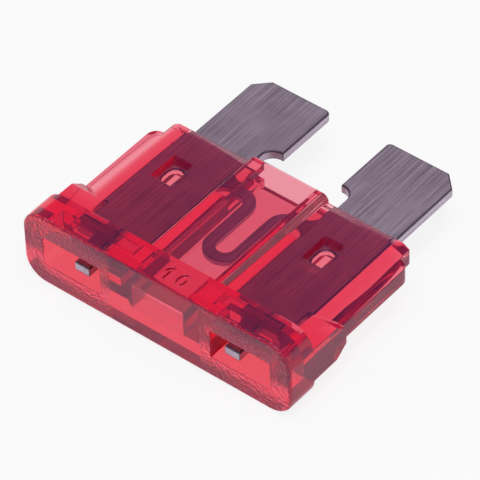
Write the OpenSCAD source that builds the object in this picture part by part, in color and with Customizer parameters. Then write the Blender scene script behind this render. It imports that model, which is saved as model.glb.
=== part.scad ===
// Blade fuse of the regular vehicle size: a clear red moulded housing on a stamped one-piece element.
// It lies flat: X runs along the head, Y from the head's end face to the blade tips, Z is up.
// The modules work from the centre of the head's end face, and place() moves them to the rest frame.

/* [Overall] */
// Length from the head's end face to the blade tips
length = 18.5; // [17.5:0.1:20]

/* [Head] */
// Width of the head along X
head_w = 19.1; // [18.6:0.1:21]
// Thickness of the head
head_t = 5.1; // [4.6:0.1:6.5]
// Depth of the full-thickness part of the head along Y
head_depth = 2.1; // [1.8:0.1:3]
// Corner radius of the head's end face
head_r = 1.5; // [0.6:0.1:2]
// Radius of the moulded edge round the head's end face
head_edge = 0.2; // [0.1:0.05:0.4]

/* [Shoulder] */
// Width of the shoulder behind the head
shoulder_w = 19; // [18.5:0.1:20.5]
// Depth along Y of the shoulder's level top
shoulder_depth = 2.1; // [1:0.1:3]
// Run along Y of the slope from the shoulder down to the side flange
shoulder_slope = 0.85; // [0.4:0.05:1.5]

/* [Body] */
// Distance from the head's end face to the open end of the body
body_len = 12.05; // [11.4:0.05:12.6]
// Width of the body over its side walls at the open end
body_w = 17; // [16.4:0.1:17.6]
// Thickness of the body over the blade pads at the open end
pad_t = 2.1; // [1.9:0.05:2.6]
// Growth of the pad thickness from the open end to the head, for mould release
pad_draft = 0.4; // [0:0.05:0.6]
// Growth of the body's width from the open end to the head, for mould release
body_draft = 0.6; // [0.1:0.05:0.8]
// Width of the sloped strip along each side of the pads
pad_slope = 0.8; // [0.4:0.05:1]
// Run along Y of the sloped strip along the pads' open end
pad_end_run = 0.65; // [0.3:0.05:0.9]
// Fall of that strip to the open end
pad_end_fall = 0.22; // [0.1:0.02:0.3]

/* [Side flange] */
// Width over the side flanges
flange_w = 18.45; // [18.1:0.05:19]
// Thickness of the side flanges
flange_t = 1.12; // [0.8:0.02:1.4]
// Distance of the flange's far end from the body's open end
flange_setback = 0.9; // [0.3:0.1:2]
// Corner radius of the flange's far end
flange_r = 0.7; // [0.2:0.05:0.9]

/* [Window block] */
// Width of the raised window block at its top
block_w = 4.9; // [4.5:0.1:5.4]
// Width of the window block at its foot on the pads
block_foot_w = 5.6; // [5.45:0.05:6]
// Thickness over the window block
block_t = 3.2; // [2.9:0.05:3.8]
// Radius of the block's edges along the open end
block_edge = 0.35; // [0.1:0.05:0.6]
// Width of the chamber that the link lies in
chamber_w = 3.7; // [3.2:0.1:4.1]
// Height of the chamber
chamber_h = 1.8; // [1.2:0.1:2.2]
// Thickness of the head's wall in front of the chamber
front_wall = 0.65; // [0.4:0.05:1.2]

/* [Test windows] */
// Distance from the middle to the near side of each test window
window_in = 3.95; // [3.4:0.05:4.4]
// Width of each test window
window_w = 4.15; // [3.4:0.05:4.5]
// Height of each test window
window_h = 2; // [1.5:0.1:2.3]
// Depth of each test window from the end face
window_depth = 1.85; // [1.4:0.05:2]
// Corner radius of the test windows
window_r = 0.15; // [0.05:0.05:0.4]

/* [Stake] */
// Half the distance between the centres of the two staked spots
stake_x = 5.43; // [5.2:0.01:5.6]
// Shift of both staked spots toward -X
stake_shift = 0.3; // [0:0.05:0.4]
// Distance of the staked spots from the body's open end
stake_y = 3.48; // [2.8:0.02:4.5]
// Width of the punched recess at the surface
stake_w = 1.45; // [1.3:0.05:2]
// Width of the recess's flat floor
stake_floor_w = 1.25; // [1:0.05:1.3]
// Length of the punched recess along Y at the surface
stake_len = 2.2; // [1.9:0.1:3.6]
// Length of the recess's flat floor
stake_floor_len = 1.65; // [1.4:0.05:1.9]
// Plastic left between the recess floor and the blade
stake_skin = 0.2; // [0.12:0.02:0.3]

/* [Blades] */
// Thickness of the stamped sheet
sheet_t = 0.65; // [0.5:0.05:0.8]
// Width of each blade
blade_w = 5.2; // [4.8:0.1:5.4]
// Gap between the two blades
blade_gap = 4.2; // [4:0.1:4.6]
// Leg of the chamfer on each blade's outer tip corner
tip_chamfer = 0.9; // [0.4:0.05:1.4]
// Radius of each blade's inner tip corner
tip_r = 0.3; // [0.1:0.05:0.6]
// Depth of the notch in each blade's inner edge
notch_depth = 0.95; // [0.5:0.05:1.1]
// Reach of the notch beyond the body's open end
notch_reach = 2; // [1.4:0.1:2.6]
// Radius of the notch's inner corner
notch_r = 0.8; // [0.3:0.05:0.9]

/* [Blade roots] */
// Width by which the root stands out past the blade's outer edge inside the body
root_step = 0.15; // [0.05:0.05:0.25]
// Length of the narrower waist that leads to the test tab
waist_len = 2.6; // [1.5:0.1:4]
// Width by which the waist is set in from the root's outer edge
waist_step = 0.25; // [0.1:0.05:0.5]
// Gap between the root's end and the back wall of the test window
root_gap = 0.1; // [0.05:0.05:0.4]
// Width of the corner cut away beside the test tab
root_cut_w = 1.5; // [1:0.1:2]
// Length of the corner cut away beside the test tab
root_cut_len = 0.9; // [0.5:0.1:1.5]
// Distance from the middle to the centre of each test tab
tab_x = 5.38; // [5.1:0.02:5.7]
// Width of each test tab
tab_w = 1.05; // [0.8:0.05:1.4]
// Setback of the tab's end from the head's end face
tab_setback = 0.17; // [0.1:0.01:0.6]
// Width of the stake hole in the blade
hole_w = 1.15; // [1:0.05:1.5]
// Length of the stake hole along Y
hole_len = 1.55; // [1.5:0.05:2]

/* [Link] */
// Width of the link's strip
link_w = 0.74; // [0.5:0.02:0.9]
// Thickness of the coined link
link_t = 0.36; // [0.2:0.02:0.5]
// Distance between the centres of the link's two legs
link_span = 1.9; // [1.5:0.05:2]
// Shift of the link from the middle of the fuse
link_shift = 0.12; // [0:0.02:0.2]
// Distance of the link's arms from the body's open end
arm_y = 2.05; // [1.7:0.05:2.6]
// Radius of the bend between each arm and its leg
arm_r = 0.9; // [0.7:0.05:1]
// Radius of the gussets between each arm and its blade root
arm_gusset = 0.8; // [0.2:0.05:0.9]
// Distance of the U-bend's centre from the body's open end
bend_y = 5.95; // [4.5:0.05:8]

/* [Fits] */
// Clearance of the element in the housing
fit = 0.05; // [0.03:0.01:0.08]

/* [Hidden] */
$fn = 48;
over = 1;
housing_colour = [0.9, 0.12, 0.24, 0.6];
metal_colour = "silver";

pad_half = pad_t / 2;
pad_half_root = pad_half + pad_draft / 2;
flange_half = flange_t / 2;
shoulder_end = head_depth + shoulder_depth;
slope_end = shoulder_end + shoulder_slope;
flange_end = body_len - flange_setback;
stake_at = body_len - stake_y;

blade_in = blade_gap / 2;
blade_out = blade_in + blade_w;
root_in = blade_in + notch_depth;
root_out = blade_out + root_step;
root_end = window_depth + root_gap;
root_start = body_len - 2 * root_step;
waist_end = root_end + waist_len;
waist_out = root_out - waist_step;
notch_end = body_len + notch_reach;

leg_x = link_span / 2;
arm_at = body_len - arm_y;
bend_at = body_len - bend_y;
leg_top = arm_at - arm_r;
slot_half = sheet_t / 2 + fit;

// Half thickness over the pads at a distance y from the end face.
function pad_half_at(y) = pad_half + (pad_half_root - pad_half) * (body_len - y) / (body_len - head_depth);

// An outline from its upper edge, closed by the same edge mirrored in the middle plane.
function mirrored(edge) = concat(edge, [for (i = [len(edge) - 1:-1:0]) [edge[i].x, -edge[i].y]]);

// Moves a shape from the end face's centre to the rest frame, on the floor with its middle at the origin.
module place() {
    translate([0, -length / 2, head_t / 2]) children();
}

// The same shape on both sides of the middle.
module both_sides() {
    children();
    mirror([1, 0, 0]) children();
}

// The same shape on both faces.
module both_faces() {
    children();
    mirror([0, 0, 1]) children();
}

// Extrudes an outline drawn in X and Z along Y.
module along_y(from, to) {
    translate([0, to, 0]) rotate([90, 0, 0]) linear_extrude(height = to - from) children();
}

// Extrudes an outline drawn in Y and Z along X, the same each way from the middle.
module along_x(width) {
    rotate([90, 0, 90]) linear_extrude(height = width, center = true) children();
}

// Extrudes a plan outline along Z, the same each way from the middle.
module along_z(height) {
    linear_extrude(height = height, center = true) children();
}

// A rectangle with round corners about the origin, made of true arcs.
module round_rect(size, r) {
    square([size.x - 2 * r, size.y], center = true);
    square([size.x, size.y - 2 * r], center = true);
    for (x = [-1, 1], y = [-1, 1]) {
        translate([x * (size.x / 2 - r), y * (size.y / 2 - r)]) circle(r);
    }
}

// A gusset that fills the corner at the origin, toward +X and +Y, up to a quarter circle.
module fillet(r) {
    difference() {
        square(r);
        translate([r, r]) circle(r);
    }
}

// Section in Y and Z of a level slab, half thick, whose edges along the open end have radius r.
module round_ended(half, r) {
    start = head_depth - head_edge;
    translate([start, -half]) square([body_len - r - start, 2 * half]);
    translate([start, r - half]) square([body_len - start, 2 * (half - r)]);
    for (m = [0, 1]) mirror([0, m]) translate([body_len - r, half - r]) circle(r);
}

// Half of a slab that lies along +Y with its front edge rounded, its middle line on Y.
module rounded_half(half) {
    translate([0, head_edge]) square([half, head_depth - head_edge]);
    square([half - head_edge, head_edge]);
    translate([half - head_edge, head_edge]) circle(head_edge);
}

// Full-thickness head: two slabs and four round corners, with one rounded edge round the end face.
module head() {
    along_x(head_w - 2 * head_r) {
        for (m = [0, 1]) mirror([0, m]) rotate(90) mirror([0, 1]) rounded_half(head_t / 2);
    }
    along_z(head_t - 2 * head_r) {
        for (m = [0, 1]) mirror([m, 0]) rounded_half(head_w / 2);
    }
    for (x = [-1, 1], z = [-1, 1]) {
        translate([x * (head_w / 2 - head_r), 0, z * (head_t / 2 - head_r)]) {
            rotate([-90, 0, 0]) rotate_extrude() intersection() {
                rounded_half(head_r);
                square([head_r, head_depth]);
            }
        }
    }
}

// Shoulder behind the head, level with the pads and then sloping down to the flange.
module shoulder() {
    along_x(shoulder_w) {
        polygon(mirrored([
            [head_depth - head_edge, pad_half_at(head_depth - head_edge)],
            [shoulder_end, pad_half_at(shoulder_end)],
            [slope_end, flange_half]
        ]));
    }
}

// Room to one side of a drafted side wall, whose upper and lower parts slope in to the pads.
module inside_of_wall() {
    rise = pad_half - flange_half;
    reach = body_len + over;
    translate([body_w / 2, body_len, 0]) rotate(atan(body_draft / 2 / (body_len - head_depth))) {
        along_y(-reach, over) {
            polygon(mirrored([
                [-2 * body_w, 2 * pad_half + over],
                [-pad_slope * (2 * pad_half + over - flange_half) / rise, 2 * pad_half + over],
                [0, flange_half]
            ]));
        }
    }
}

// Body over the blade pads, drafted from the head to the open end both in thickness and in width.
// A sloped strip leads down to the open end.
module pads() {
    intersection() {
        along_x(shoulder_w) {
            polygon(mirrored([
                [head_depth - head_edge, pad_half_at(head_depth - head_edge)],
                [body_len - pad_end_run, pad_half_at(body_len - pad_end_run)],
                [body_len, pad_half - pad_end_fall]
            ]));
        }
        inside_of_wall();
        mirror([1, 0, 0]) inside_of_wall();
    }
}

// Thin flanges along both sides, with round far corners.
module flanges() {
    start = head_depth - head_edge;
    along_z(flange_t) {
        translate([-flange_w / 2, start]) square([flange_w, flange_end - flange_r - start]);
        translate([-flange_w / 2 + flange_r, start]) square([flange_w - 2 * flange_r, flange_end - start]);
        both_sides() translate([flange_w / 2 - flange_r, flange_end - flange_r]) circle(flange_r);
    }
}

// Raised block over the link chamber.
module window_block() {
    intersection() {
        along_y(head_depth - head_edge, body_len) {
            polygon(mirrored([
                [-block_foot_w / 2, pad_half], [-block_w / 2, block_t / 2],
                [block_w / 2, block_t / 2], [block_foot_w / 2, pad_half]
            ]));
        }
        along_x(block_foot_w) round_ended(block_t / 2, block_edge);
    }
}

// Space that the link lies in, open at the body's end.
module chamber() {
    along_y(front_wall, body_len + over) square([chamber_w, chamber_h], center = true);
}

// Flat slots that the blade roots and the link's arms slide into from the open end.
module blade_slots() {
    root_floor = window_depth - fit;
    arm_floor = arm_at - link_w / 2 - arm_gusset - fit;
    along_z(2 * slot_half) {
        both_sides() translate([root_in - fit, root_floor]) {
            square([root_out - root_in + 2 * fit, body_len + over - root_floor]);
        }
        translate([-root_in, arm_floor]) square([2 * root_in, body_len + over - arm_floor]);
    }
}

// Windows in the end face through which the test tabs are reached.
module test_windows() {
    both_sides() translate([window_in + window_w / 2, 0, 0]) {
        along_y(-over, window_depth) round_rect([window_w, window_h], window_r);
    }
}

// The same shape at both staked spots.
module stake_spots() {
    translate([-stake_shift, stake_at, 0]) both_sides() translate([stake_x, 0, 0]) children();
}

// Section of a punched recess whose walls slope from its floor to the pad's surface.
module recess_section(floor_run, mouth_run) {
    floor_z = slot_half + stake_skin;
    surface_z = pad_half_at(stake_at);
    ramp = (mouth_run - floor_run) / 2 / (surface_z - floor_z);
    reach = mouth_run / 2 + ramp * over;
    polygon([
        [-floor_run / 2, floor_z], [floor_run / 2, floor_z],
        [reach, surface_z + over], [-reach, surface_z + over]
    ]);
}

// Punched recesses on both faces of each pad.
module stake_recesses() {
    stake_spots() both_faces() intersection() {
        along_x(stake_w + over) recess_section(stake_floor_len, stake_len);
        along_y(-stake_len, stake_len) recess_section(stake_floor_w, stake_w);
    }
}

// Outline of the stake hole about its centre, grown by a margin.
module stake_hole(margin) {
    w = hole_w + 2 * margin;
    run = hole_len - hole_w;
    for (y = [-1, 1]) translate([0, y * run / 2]) circle(w / 2);
    square([w, run], center = true);
}

// Plastic pressed through the blades' stake holes.
module stake_posts() {
    stake_spots() along_z(2 * slot_half + stake_skin) stake_hole(-fit);
}

module housing() {
    color(housing_colour) place() {
        difference() {
            union() {
                head();
                shoulder();
                pads();
                flanges();
                window_block();
            }
            chamber();
            blade_slots();
            test_windows();
            stake_recesses();
        }
        stake_posts();
    }
}

// Blade, root and test tab of the +X side, as one flat outline.
module blade_outline() {
    difference() {
        union() {
            translate([blade_in, notch_end]) square([blade_w, length - notch_end]);
            translate([root_in, waist_end]) square([blade_out - root_in, notch_end - waist_end]);
            translate([root_in, waist_end]) square([root_out - root_in, root_start - waist_end]);
            translate([root_in, root_end]) square([waist_out - root_in, waist_len]);
            translate([root_in, notch_end]) rotate(180) fillet(notch_r);
        }
        // Outer tip corner
        translate([blade_out, length]) rotate(45) {
            square([sqrt(2) * tip_chamfer, 2 * tip_chamfer], center = true);
        }
        // Inner tip corner
        translate([blade_in, length]) mirror([0, 1]) fillet(tip_r);
        // Corner beside the test tab
        translate([root_in - over, root_end - over]) square([root_cut_w + over, root_cut_len + over]);
    }
    translate([tab_x - tab_w / 2, tab_setback]) square([tab_w, root_end + root_cut_len - tab_setback]);
}

// Quarter ring about the origin, from +X to +Y, in the link's strip width.
module quarter_bend(r) {
    intersection() {
        difference() {
            circle(r + link_w / 2);
            circle(r - link_w / 2);
        }
        square(r + link_w);
    }
}

// One side of the link: half the U-bend, a leg, a bend and an arm that ends inside the blade root.
// Gussets widen the arm where it meets the root, which begins at the distance root.
module link_half(root) {
    translate([0, bend_at]) mirror([0, 1]) quarter_bend(leg_x);
    translate([leg_x - link_w / 2, bend_at]) square([link_w, leg_top - bend_at]);
    translate([leg_x + arm_r, leg_top]) mirror([1, 0]) quarter_bend(arm_r);
    translate([leg_x + arm_r, arm_at - link_w / 2]) square([root - leg_x - arm_r, link_w]);
    translate([root, arm_at - link_w / 2 - arm_gusset]) square([link_w / 2, link_w + 2 * arm_gusset]);
    for (m = [0, 1]) translate([root, arm_at]) mirror([0, m]) translate([0, link_w / 2]) {
        mirror([1, 0]) fillet(arm_gusset);
    }
}

module fuse_element() {
    color(metal_colour) place() {
        difference() {
            along_z(sheet_t) both_sides() blade_outline();
            stake_spots() along_z(sheet_t + over) stake_hole(0);
        }
        along_z(link_t) translate([link_shift, 0]) {
            link_half(root_in - link_shift);
            mirror([1, 0]) link_half(root_in + link_shift);
        }
    }
}

housing();
fuse_element();
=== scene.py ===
"""Looks of a regular blade fuse: a red see-through housing moulded round a stamped metal element.

The two CAD nodes give every main shape. Merged copies of them get the small rounded edges that a
moulding tool and a stamping press leave, and finishes worked out from the real materials.
"""

import logging
from dataclasses import dataclass
from enum import Enum

import bmesh
import bpy
import numpy as np
from mathutils import Matrix, Vector


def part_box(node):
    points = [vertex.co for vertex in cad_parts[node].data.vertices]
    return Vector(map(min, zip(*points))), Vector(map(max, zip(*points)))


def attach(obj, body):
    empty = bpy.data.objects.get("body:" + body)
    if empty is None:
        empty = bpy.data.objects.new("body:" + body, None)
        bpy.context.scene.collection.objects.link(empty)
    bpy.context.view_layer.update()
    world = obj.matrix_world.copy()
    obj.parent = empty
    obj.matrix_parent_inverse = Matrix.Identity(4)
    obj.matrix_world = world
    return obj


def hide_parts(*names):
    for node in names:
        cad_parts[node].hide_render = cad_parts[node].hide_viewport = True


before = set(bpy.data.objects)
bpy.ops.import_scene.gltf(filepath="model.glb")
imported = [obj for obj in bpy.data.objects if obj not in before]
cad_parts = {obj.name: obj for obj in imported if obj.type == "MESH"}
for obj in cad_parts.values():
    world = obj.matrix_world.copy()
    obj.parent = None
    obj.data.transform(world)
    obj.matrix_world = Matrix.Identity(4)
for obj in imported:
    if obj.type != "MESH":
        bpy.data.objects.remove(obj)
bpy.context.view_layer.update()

LOG = logging.getLogger("blade_fuse")
BODY = "root"
MM = 0.001
MERGE_DISTANCE = 0.002 * MM
FLAT_DEG = 0.5
EDGE_SEGMENTS = 2
WHITE = (1.0, 1.0, 1.0, 1.0)


class Slot(Enum):
    """The record's material slots."""

    HOUSING = "housing"
    ELEMENT = "element"


def linear(code: str) -> tuple[float, float, float, float]:
    """Turns an sRGB hex code into linear colour, by the sRGB curve on each channel.

    Args:
        code: Six hex digits with a leading hash.

    Returns:
        Red, green, blue and an alpha of one.
    """
    srgb = np.array([int(code[i:i + 2], 16) for i in (1, 3, 5)]) / 255
    value = np.where(srgb <= 0.04045, srgb / 12.92, ((srgb + 0.055) / 1.055) ** 2.4)
    return (*(float(channel) for channel in value), 1.0)


def add(tree: bpy.types.NodeTree, kind: str, inputs: dict | None = None, **settings) -> bpy.types.Node:
    """Adds one node, with its settings, its values and the links into it.

    Args:
        tree: Tree that gets the node.
        kind: Blender's name for the node's type.
        inputs: Socket name or number to a value, or to the output socket that feeds it.
        **settings: Attributes of the node.

    Returns:
        The node.
    """
    node = tree.nodes.new(kind)
    for name, value in settings.items():
        setattr(node, name, value)
    for key, value in (inputs or {}).items():
        if isinstance(value, bpy.types.NodeSocket):
            tree.links.new(value, node.inputs[key])
        else:
            node.inputs[key].default_value = value
    return node


def new_material(name: str) -> tuple[bpy.types.Material, bpy.types.NodeTree, bpy.types.Node]:
    """Starts a node material.

    Args:
        name: The real material and how its surface was made.

    Returns:
        The material, its emptied tree and its output node.
    """
    material = bpy.data.materials.new(name)
    material.use_nodes = True
    tree = material.node_tree
    tree.nodes.clear()
    return material, tree, add(tree, "ShaderNodeOutputMaterial")


@dataclass(frozen=True)
class MouldedPolycarbonate:
    """Red clear polycarbonate from a polished mould: glossy, and redder the deeper one looks into it.

    The colour is all in the depth of the plastic, so a thin wall is pink and a thick one deep red.
    A trace of violet on the surface stands for the dye that glows back at the eye, and rays that turn
    inside the plastic for too long end in a painted glow: a dim white emission that stands in for the
    light the real plastic lets out. The mould's spark-eroded grain, about 0.05 mm in the real one, is
    drawn four times as coarse so that it shows.
    """

    name: str = "polycarbonate_clear_red_moulded"
    surface: str = "#FFF4F4"
    ior: float = 1.585
    roughness: float = 0.04
    gloss: float = 0.1
    depth_colour: tuple[float, float, float, float] = (0.971, 0.06, 0.16, 1.0)
    depth_density: float = 1300.0
    film: float = 0.038
    film_colour: str = "#B000FF"
    last_turn: int = 4
    last_crossing: int = 12
    painted_trapped_glow: float = 0.52
    ripple_mm: float = 2.5
    ripple_depth_mm: float = 0.004
    grain_mm: float = 0.22
    grain_depth_mm: float = 0.1
    grain_y_mm: float = -9.1
    grain_x_mm: float = 3.2

    def grained(self, tree: bpy.types.NodeTree, place: bpy.types.NodeSocket) -> bpy.types.NodeSocket:
        """Finds the spark-eroded part of the mould: the head's end face outside its polished middle.

        Args:
            tree: Tree that gets the nodes.
            place: Position on the part.

        Returns:
            The socket that is one there and zero elsewhere.
        """
        axes = add(tree, "ShaderNodeSeparateXYZ", {"Vector": place}).outputs
        front = add(tree, "ShaderNodeMath", {0: axes["Y"], 1: self.grain_y_mm * MM}, operation="LESS_THAN")
        width = add(tree, "ShaderNodeMath", {0: axes["X"]}, operation="ABSOLUTE")
        side = add(tree, "ShaderNodeMath", {
            0: width.outputs["Value"], 1: self.grain_x_mm * MM}, operation="GREATER_THAN")
        return add(tree, "ShaderNodeMath", {
            0: front.outputs["Value"], 1: side.outputs["Value"]}, operation="MULTIPLY").outputs["Value"]

    def build(self) -> bpy.types.Material:
        """Makes the material.

        Returns:
            A clear surface over a volume that takes green and blue out of the light.
        """
        material, tree, output = new_material(self.name)
        place = add(tree, "ShaderNodeTexCoord").outputs["Object"]
        ripple = add(tree, "ShaderNodeTexNoise", {
            "Vector": place, "Scale": 1 / (self.ripple_mm * MM), "Detail": 1.0})
        wave = add(tree, "ShaderNodeBump", {
            "Height": ripple.outputs["Fac"], "Strength": 1.0, "Distance": self.ripple_depth_mm * MM})
        grain = add(tree, "ShaderNodeTexNoise", {
            "Vector": place, "Scale": 1 / (self.grain_mm * MM), "Detail": 2.0})
        bump = add(tree, "ShaderNodeBump", {
            "Height": grain.outputs["Fac"], "Strength": self.grained(tree, place),
            "Distance": self.grain_depth_mm * MM, "Normal": wave.outputs["Normal"]})
        shader = add(tree, "ShaderNodeBsdfPrincipled", {
            "Base Color": linear(self.surface), "Roughness": self.roughness, "IOR": self.ior,
            "Transmission Weight": 1.0, "Specular IOR Level": self.gloss, "Normal": bump.outputs["Normal"]})
        dye = add(tree, "ShaderNodeBsdfDiffuse", {"Color": linear(self.film_colour)})
        body = add(tree, "ShaderNodeMixShader", {
            0: self.film, 1: shader.outputs["BSDF"], 2: dye.outputs["BSDF"]})
        path = add(tree, "ShaderNodeLightPath").outputs
        turns = add(tree, "ShaderNodeMath", {
            0: path["Glossy Depth"], 1: self.last_turn - 0.5}, operation="GREATER_THAN")
        crossings = add(tree, "ShaderNodeMath", {
            0: path["Ray Depth"], 1: self.last_crossing - 0.5}, operation="GREATER_THAN")
        trapped = add(tree, "ShaderNodeMath", {
            0: turns.outputs["Value"], 1: crossings.outputs["Value"]}, operation="MAXIMUM")
        # Painted glow: rays trapped inside the plastic end in a dim white emission instead of real light.
        painted_trapped_glow = add(tree, "ShaderNodeEmission", {"Strength": self.painted_trapped_glow})
        body = add(tree, "ShaderNodeMixShader", {
            0: trapped.outputs["Value"], 1: body.outputs["Shader"], 2: painted_trapped_glow.outputs["Emission"]})
        depth = add(tree, "ShaderNodeVolumeAbsorption", {
            "Color": self.depth_colour, "Density": self.depth_density})
        tree.links.new(body.outputs["Shader"], output.inputs["Surface"])
        tree.links.new(depth.outputs["Volume"], output.inputs["Volume"])
        return material


@dataclass(frozen=True)
class TinPlatedZinc:
    """Tin over rolled zinc strip: a grey satin metal with fine rolling lines along the blades.

    The real lines are about 0.02 mm apart, and are drawn four times as coarse so that they show.
    Tone and gloss follow the noise over a span on each side of its middle, 0.5.
    """

    name: str = "zinc_strip_tin_plated"
    dark: str = "#A092A2"
    light: str = "#E4D6E6"
    roughness: float = 0.38
    smoother: float = 0.06
    rougher: float = 0.1
    tone_span: float = 0.24
    gloss_span: float = 0.2
    line_mm: float = 0.09
    line_length_mm: float = 6.0
    cloud_mm: float = 1.6
    cloud_share: float = 0.25
    line_depth_mm: float = 0.004

    def build(self) -> bpy.types.Material:
        """Makes the material.

        Returns:
            A metal whose tone, gloss and height follow lines drawn out along Y.
        """
        material, tree, output = new_material(self.name)
        place = add(tree, "ShaderNodeTexCoord").outputs["Object"]
        stretch = (1 / (self.line_mm * MM), 1 / (self.line_length_mm * MM), 1 / (self.line_mm * MM))
        drawn = add(tree, "ShaderNodeMapping", {"Vector": place, "Scale": stretch})
        lines = add(tree, "ShaderNodeTexNoise", {
            "Vector": drawn.outputs["Vector"], "Scale": 1.0, "Detail": 3.0, "Roughness": 0.6})
        cloud = add(tree, "ShaderNodeTexNoise", {
            "Vector": place, "Scale": 1 / (self.cloud_mm * MM), "Detail": 2.0})
        mixed = add(tree, "ShaderNodeMix", {
            "Factor": self.cloud_share, "A": lines.outputs["Fac"], "B": cloud.outputs["Fac"]})
        tone = add(tree, "ShaderNodeMapRange", {
            "Value": mixed.outputs["Result"], "From Min": 0.5 - self.tone_span,
            "From Max": 0.5 + self.tone_span})
        colour = add(tree, "ShaderNodeMix", {
            "Factor": tone.outputs["Result"], 6: linear(self.dark), 7: linear(self.light)}, data_type="RGBA")
        gloss = add(tree, "ShaderNodeMapRange", {
            "Value": lines.outputs["Fac"], "From Min": 0.5 - self.gloss_span,
            "From Max": 0.5 + self.gloss_span,
            "To Min": self.roughness - self.smoother, "To Max": self.roughness + self.rougher})
        bump = add(tree, "ShaderNodeBump", {
            "Height": lines.outputs["Fac"], "Strength": 1.0, "Distance": self.line_depth_mm * MM})
        shader = add(tree, "ShaderNodeBsdfPrincipled", {
            "Base Color": colour.outputs[2], "Metallic": 1.0,
            "Roughness": gloss.outputs["Result"], "Normal": bump.outputs["Normal"]})
        tree.links.new(shader.outputs["BSDF"], output.inputs["Surface"])
        return material


@dataclass(frozen=True)
class PaleFloor:
    """Matt white board: it shows white to the lens, the gloss and the clear plastic, and keeps the shadow."""

    name: str = "paper_white_matt"
    colour: str = "#FBFBFB"
    own_light: float = 0.85
    own_light_in_gloss: float = 0.2
    own_light_through: float = 1.0

    def build(self) -> bpy.types.Material:
        """Makes the material.

        Returns:
            A matt white, part of which stays white for the rays that look at it.
        """
        material, tree, output = new_material(self.name)
        matt = add(tree, "ShaderNodeBsdfDiffuse", {"Color": linear(self.colour)})
        white = add(tree, "ShaderNodeEmission", {"Strength": 1.0})
        mix = add(tree, "ShaderNodeMixShader", {
            0: seen_share(tree, self.own_light, self.own_light_in_gloss, self.own_light_through),
            1: matt.outputs["BSDF"], 2: white.outputs["Emission"]})
        tree.links.new(mix.outputs["Shader"], output.inputs["Surface"])
        return material


def seen_share(tree: bpy.types.NodeTree, direct: float, in_gloss: float,
               through: float) -> bpy.types.NodeSocket:
    """Gives a share to the rays that look at a thing, and none to those that gather light.

    Args:
        tree: Tree that gets the nodes.
        direct: Share for rays from the camera.
        in_gloss: Share for rays off gloss.
        through: Share for rays that come through clear plastic.

    Returns:
        The socket with the share, the largest of those that hold.
    """
    path = add(tree, "ShaderNodeLightPath").outputs
    share = None
    kinds = (("Is Camera Ray", direct), ("Is Glossy Ray", in_gloss), ("Is Transmission Ray", through))
    for kind, part in kinds:
        own = add(tree, "ShaderNodeMath", {0: path[kind], 1: part}, operation="MULTIPLY").outputs["Value"]
        share = own if share is None else add(
            tree, "ShaderNodeMath", {0: share, 1: own}, operation="MAXIMUM").outputs["Value"]
    return share


def piece_from_node(node: str, name: str, material: bpy.types.Material) -> bpy.types.Object:
    """Copies a CAD node, merges its loose triangles into whole faces, and lets the copy stand for it.

    Args:
        node: CAD node to copy.
        name: Name of the new piece.
        material: Its finish.

    Returns:
        The piece, with its place in its mesh.
    """
    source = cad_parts[node]
    mesh = source.data.copy()
    mesh.name = name
    mesh.materials.clear()
    mesh.materials.append(material)
    for stale in ("custom_normal", "sharp_face", "sharp_edge"):
        if stale in mesh.attributes:
            mesh.attributes.remove(mesh.attributes[stale])
    shape = bmesh.new()
    shape.from_mesh(mesh)
    bmesh.ops.remove_doubles(shape, verts=shape.verts, dist=MERGE_DISTANCE)
    bmesh.ops.dissolve_limit(
        shape, angle_limit=float(np.radians(FLAT_DEG)), verts=shape.verts, edges=shape.edges)
    shape.to_mesh(mesh)
    shape.free()
    piece = bpy.data.objects.new(name, mesh)
    bpy.context.scene.collection.objects.link(piece)
    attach(piece, BODY)
    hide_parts(node)
    return piece


def edge_turns(mesh: bpy.types.Mesh) -> np.ndarray:
    """Works out how far each edge of a closed mesh turns, from the normals a and b of its two faces.

    turn = arccos(a . b)

    Args:
        mesh: Mesh in which every edge has two faces.

    Returns:
        One angle in radians for each edge.
    """
    normals = np.empty(3 * len(mesh.polygons))
    mesh.polygons.foreach_get("normal", normals)
    sizes = np.empty(len(mesh.polygons), int)
    mesh.polygons.foreach_get("loop_total", sizes)
    edges = np.empty(len(mesh.loops), int)
    mesh.loops.foreach_get("edge_index", edges)
    faces = np.repeat(np.arange(len(sizes)), sizes)[np.argsort(edges, kind="stable")]
    a, b = normals.reshape(-1, 3)[faces[0::2]], normals.reshape(-1, 3)[faces[1::2]]
    return np.arccos(np.clip((a * b).sum(axis=1), -1.0, 1.0))


@dataclass(frozen=True)
class Zone:
    """A box in which the edges are rounded by a width of their own, in the rest frame's millimetres.

    Where that width is nought they stay sharp.
    """

    low: tuple[float, float, float]
    high: tuple[float, float, float]
    width_mm: float


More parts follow.
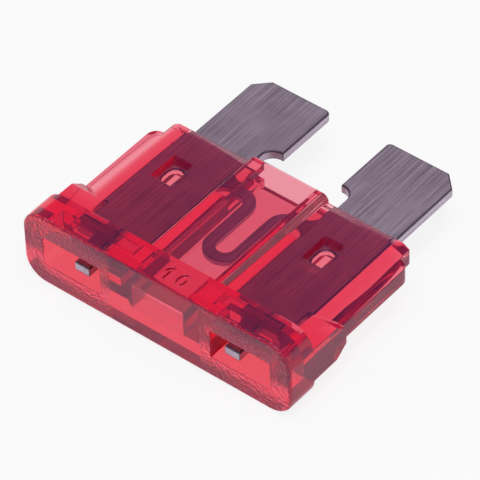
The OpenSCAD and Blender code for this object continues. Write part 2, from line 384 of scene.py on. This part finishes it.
def round_edges(piece: bpy.types.Object, width_mm: float, angle_deg: float,
                zones: tuple[Zone, ...], finish: int = 0) -> None:
    """Rounds a piece's sharp edges and shades it smooth between them.

    Args:
        piece: Piece to finish.
        width_mm: Width of the rounding on each face.
        angle_deg: Edges that turn less than this stay as they are.
        zones: Boxes with widths of their own.
        finish: Number of the material on the rounding.
    """
    mesh = piece.data
    mesh.polygons.foreach_set("use_smooth", np.ones(len(mesh.polygons), bool))
    points = np.empty(3 * len(mesh.vertices))
    mesh.vertices.foreach_get("co", points)
    ends = np.empty(2 * len(mesh.edges), int)
    mesh.edges.foreach_get("vertices", ends)
    ends = points.reshape(-1, 3)[ends.reshape(-1, 2)] / MM
    widths = np.full(len(mesh.edges), width_mm)
    for zone in zones:
        inside = ((ends >= zone.low) & (ends <= zone.high)).all(axis=(1, 2))
        widths[inside] = zone.width_mm
    turns = edge_turns(mesh)
    mesh.edges.foreach_set("use_edge_sharp", (turns >= np.radians(angle_deg)) & (widths == 0.0))
    widths[turns < np.radians(angle_deg)] = 0.0
    share = mesh.attributes.new("bevel_weight_edge", "FLOAT", "EDGE")
    share.data.foreach_set("value", (widths / widths.max()).astype(np.float32))
    bevel = piece.modifiers.new("rounded_edges", "BEVEL")
    bevel.width = float(widths.max()) * MM
    bevel.segments = EDGE_SEGMENTS
    bevel.material = finish
    bevel.limit_method = "WEIGHT"
    bevel.use_clamp_overlap = False
    bevel.harden_normals = True
    even = piece.modifiers.new("flat_faces_stay_flat", "WEIGHTED_NORMAL")
    even.mode = "FACE_AREA"
    even.keep_sharp = True


@dataclass(frozen=True)
class Numerals:
    """The plain number ten sunk into the head's top."""

    middle_mm: tuple[float, float] = (0.9, -8.3)
    height_mm: float = 1.0
    stroke_mm: float = 0.22
    advance_mm: float = 0.95
    oval_mm: float = 0.7
    flag_mm: float = 0.22
    depth_mm: float = 0.12
    steps: int = 24

    def outlines(self) -> list[list[np.ndarray]]:
        """Works out each figure's rings, the outer one first, all of them anticlockwise.

        The one is a bar with a flag that falls from its top at 45 degrees. The nought's rings are
        (a cos t, b sin t), with half the stroke added to a and b or taken off.

        Returns:
            One ring for the one and two for the nought, as plane points in millimetres.
        """
        half, stroke, flag = self.height_mm / 2, self.stroke_mm / 2, self.flag_mm
        middle, step = np.array(self.middle_mm), np.array([self.advance_mm / 2, 0])
        one = np.array([(-stroke, -half), (stroke, -half), (stroke, half), (-stroke, half),
                        (-stroke - flag, half - flag), (-stroke - flag, half - flag - self.stroke_mm),
                        (-stroke, half - self.stroke_mm)])
        t = np.linspace(0, 2 * np.pi, self.steps, endpoint=False)
        ring = np.stack([np.cos(t), np.sin(t)], axis=1)
        reach = np.array([self.oval_mm / 2, half]) - stroke
        return [[middle - step + one],
                [middle + step + ring * (reach + stroke), middle + step + ring * (reach - stroke)]]

    def cutter(self, top: float) -> bpy.types.Mesh:
        """Makes the closed shape that is cut out of the head.

        Each figure is a prism over its ring or between its two rings, with its faces outwards.

        Args:
            top: Height of the head's top in metres.

        Returns:
            A mesh of two prisms, half of each above the top.
        """
        points, faces = [], []
        for rings in self.outlines():
            base, count = sum(len(block) for block in points), len(rings[0])
            here = np.arange(count)
            after = np.roll(here, -1)
            outer, inner = rings[0], rings[-1]
            if outer is inner:
                levels, bands = ((outer, -1), (outer, 1)), ((1, 0),)
                faces += [(base + here[::-1]).tolist(), (base + count + here).tolist()]
            else:
                levels = ((outer, -1), (inner, -1), (inner, 1), (outer, 1))
                bands = ((0, 1), (1, 2), (2, 3), (3, 0))
            for ring, side in levels:
                level = np.full((count, 1), side * self.depth_mm)
                points.append(np.hstack([ring, level]) * MM + (0, 0, top))
            for low, high in bands:
                corners = (low * count + here, high * count + here, high * count + after, low * count + after)
                faces += (base + np.stack(corners, axis=1)).tolist()
        mesh = bpy.data.meshes.new("numerals_cutter")
        mesh.from_pydata(np.concatenate(points).tolist(), [], faces)
        return mesh

    def engrave(self, piece: bpy.types.Object) -> None:
        """Cuts the figures into a piece's own mesh.

        Args:
            piece: Piece whose highest face takes them.
        """
        heights = np.array([corner[2] for corner in piece.bound_box])
        tool = bpy.data.objects.new("numerals_cutter", self.cutter(float(heights.max())))
        bpy.context.scene.collection.objects.link(tool)
        cut = piece.modifiers.new("numerals", "BOOLEAN")
        cut.operation = "DIFFERENCE"
        cut.solver = "EXACT"
        cut.object = tool
        graph = bpy.context.evaluated_depsgraph_get()
        carved = bpy.data.meshes.new_from_object(piece.evaluated_get(graph))
        piece.modifiers.clear()
        piece.data = carved
        bpy.data.objects.remove(tool)


@dataclass
class Housing:
    """The moulded housing.

    The edges of the head's back face, at root_y along Y, stay sharp, because their roundings
    would stand out past the head where the shoulder meets it.
    """

    edge_mm: float = 0.05
    sharp_deg: float = 32.0
    root_y_mm: float = -7.15
    fit_mm: float = 0.05
    seat_mm: float = 0.003
    numerals: Numerals = Numerals()
    finish: MouldedPolycarbonate = MouldedPolycarbonate()

    def close_on_metal(self, shell: bpy.types.Object) -> None:
        """Lays the slots' walls on the metal, as where the plastic is pressed on, with no film of air.

        Each wall point at the height z = middle +- (half sheet + fit) moves to middle +- (half sheet - seat).

        Args:
            shell: The housing's piece.
        """
        low, high = (np.array(corner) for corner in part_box("fuse_element"))
        middle, half = (low[2] + high[2]) / 2, (high[2] - low[2]) / 2
        points = np.empty(3 * len(shell.data.vertices))
        shell.data.vertices.foreach_get("co", points)
        points = points.reshape(-1, 3)
        rise = points[:, 2] - middle
        on_wall = np.abs(np.abs(rise) - half - self.fit_mm * MM) < MERGE_DISTANCE
        points[:, 2] = np.where(on_wall, middle + np.sign(rise) * (half - self.seat_mm * MM), points[:, 2])
        shell.data.vertices.foreach_set("co", points.ravel())
        shell.data.update()

    def build(self) -> bpy.types.Object:
        """Builds the housing.

        Returns:
            The piece that stands for the CAD housing.
        """
        shell = piece_from_node("housing", "housing_shell", self.finish.build())
        self.close_on_metal(shell)
        self.numerals.engrave(shell)
        low, high = (np.array(corner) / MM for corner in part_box("housing"))
        root = self.root_y_mm
        roots = Zone((low[0], root - self.edge_mm, low[2]), (high[0], root + self.edge_mm, high[2]), 0.0)
        round_edges(shell, self.edge_mm, self.sharp_deg, (roots,))
        return shell


@dataclass
class Element:
    """The stamped element: two blades and the link between them.

    The press burnishes the outlines of both faces, so these are rounded wider than the other edges.
    Every rounding takes a darker copy of the metal, a painted dark reflection on the rounded edges.
    """

    edge_mm: float = 0.03
    sharp_deg: float = 32.0
    outline_edge_mm: float = 0.1
    finish: TinPlatedZinc = TinPlatedZinc()
    # Painted dark reflection: a darker copy of the metal that every rounding gets.
    painted_dark_edge: TinPlatedZinc = TinPlatedZinc(
        "zinc_strip_painted_dark_edge", dark="#504250", light="#807282", roughness=0.45)

    def build(self) -> bpy.types.Object:
        """Builds the element.

        Returns:
            The piece that stands for the CAD element.
        """
        strip = piece_from_node("fuse_element", "element_strip", self.finish.build())
        strip.data.materials.append(self.painted_dark_edge.build())
        low, high = (np.array(corner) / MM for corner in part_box("fuse_element"))
        near = self.edge_mm / 2
        faces = tuple(Zone((low[0] - near, low[1] - near, level - near),
                           (high[0] + near, high[1] + near, level + near), self.outline_edge_mm)
                      for level in (low[2], high[2]))
        # Material 1, the painted dark reflection, goes on every rounding.
        round_edges(strip, self.edge_mm, self.sharp_deg, faces, finish=1)
        return strip


@dataclass
class Studio:
    """Camera, floor and soft light."""

    camera_at: tuple[float, float, float] = (0.111793, -0.133268, 0.170347)
    camera_forward: tuple[float, float, float] = (-0.4641, 0.5460, -0.6975)
    camera_up: tuple[float, float, float] = (-0.4235, 0.5549, 0.7161)
    lens_mm: float = 322.2
    sensor_mm: float = 36.0
    clip: tuple[float, float] = (0.01, 10.0)
    floor_half: float = 2.0
    air_mm: float = 0.02
    backdrop_top: float = 0.25
    backdrop_end: float = 0.5
    world_light: tuple[float, float, float, float] = (0.26, 0.22, 0.26, 1.0)
    lamp_at: tuple[float, float, float] = (0.05, -0.06, 0.45)
    lamp_size: float = 0.3
    lamp_power: float = 1.0

    def camera(self) -> None:
        """Sets up the camera at the photograph's viewing angle."""
        data = bpy.data.cameras.new("studio_camera")
        data.lens = self.lens_mm
        data.sensor_width = self.sensor_mm
        data.clip_start, data.clip_end = self.clip
        back = -Vector(self.camera_forward).normalized()
        right = Vector(self.camera_up).cross(back).normalized()
        up = back.cross(right)
        camera = bpy.data.objects.new("studio_camera", data)
        turn = Matrix((right, up, back)).transposed().to_4x4()
        camera.matrix_world = Matrix.Translation(self.camera_at) @ turn
        bpy.context.scene.collection.objects.link(camera)
        bpy.context.scene.camera = camera

    def floor(self) -> None:
        """Lays a plain pale floor under the part, a film of air below the plastic.

        The air keeps the plastic's underside a mirror for light that meets it from inside.
        """
        half, level = self.floor_half, -self.air_mm * MM
        corners = np.array([[-half, -half], [half, -half], [half, half], [-half, half]])
        corners = np.column_stack([corners, np.full(len(corners), level)])
        mesh = bpy.data.meshes.new("floor")
        mesh.from_pydata(corners.tolist(), [], [[0, 1, 2, 3]])
        mesh.materials.append(PaleFloor().build())
        floor = bpy.data.objects.new("floor", mesh)
        bpy.context.scene.collection.objects.link(floor)

    def world(self) -> None:
        """Surrounds the part with plain soft light."""
        world = bpy.data.worlds.new("studio")
        world.use_nodes = True
        tree = world.node_tree
        tree.nodes.clear()
        way = add(tree, "ShaderNodeTexCoord").outputs["Generated"]
        height = add(tree, "ShaderNodeSeparateXYZ", {"Vector": way}).outputs["Z"]
        level = add(tree, "ShaderNodeMapRange", {
            "Value": height, "From Min": self.backdrop_top, "From Max": self.backdrop_end},
            interpolation_type="SMOOTHSTEP")
        colour = add(tree, "ShaderNodeMix", {
            "Factor": level.outputs["Result"], 6: WHITE, 7: self.world_light}, data_type="RGBA")
        light = add(tree, "ShaderNodeBackground", {"Color": colour.outputs[2], "Strength": 1.0})
        add(tree, "ShaderNodeOutputWorld", {"Surface": light.outputs["Background"]})
        bpy.context.scene.world = world

    def lamp(self) -> None:
        """Hangs one soft lamp behind and to the left of the part."""
        data = bpy.data.lights.new("softbox", "AREA")
        data.shape = "SQUARE"
        data.size = self.lamp_size
        data.energy = self.lamp_power
        lamp = bpy.data.objects.new("softbox", data)
        lamp.location = self.lamp_at
        lamp.rotation_mode = "QUATERNION"
        lamp.rotation_quaternion = Vector(self.lamp_at).to_track_quat("Z", "Y")
        bpy.context.scene.collection.objects.link(lamp)

    def build(self) -> None:
        """Sets up the whole studio."""
        self.camera()
        self.floor()
        self.world()
        self.lamp()
        view = bpy.context.scene.view_settings
        view.view_transform = "Standard"


def main() -> None:
    """Builds the studio and the fuse, and reports each piece."""
    logging.basicConfig(level=logging.INFO, format="%(name)s: %(message)s")
    Studio().build()
    for part in (Housing(), Element()):
        piece = part.build()
        LOG.info("%s: %d faces", piece.name, len(piece.data.polygons))


if __name__ == "__main__":
    main()
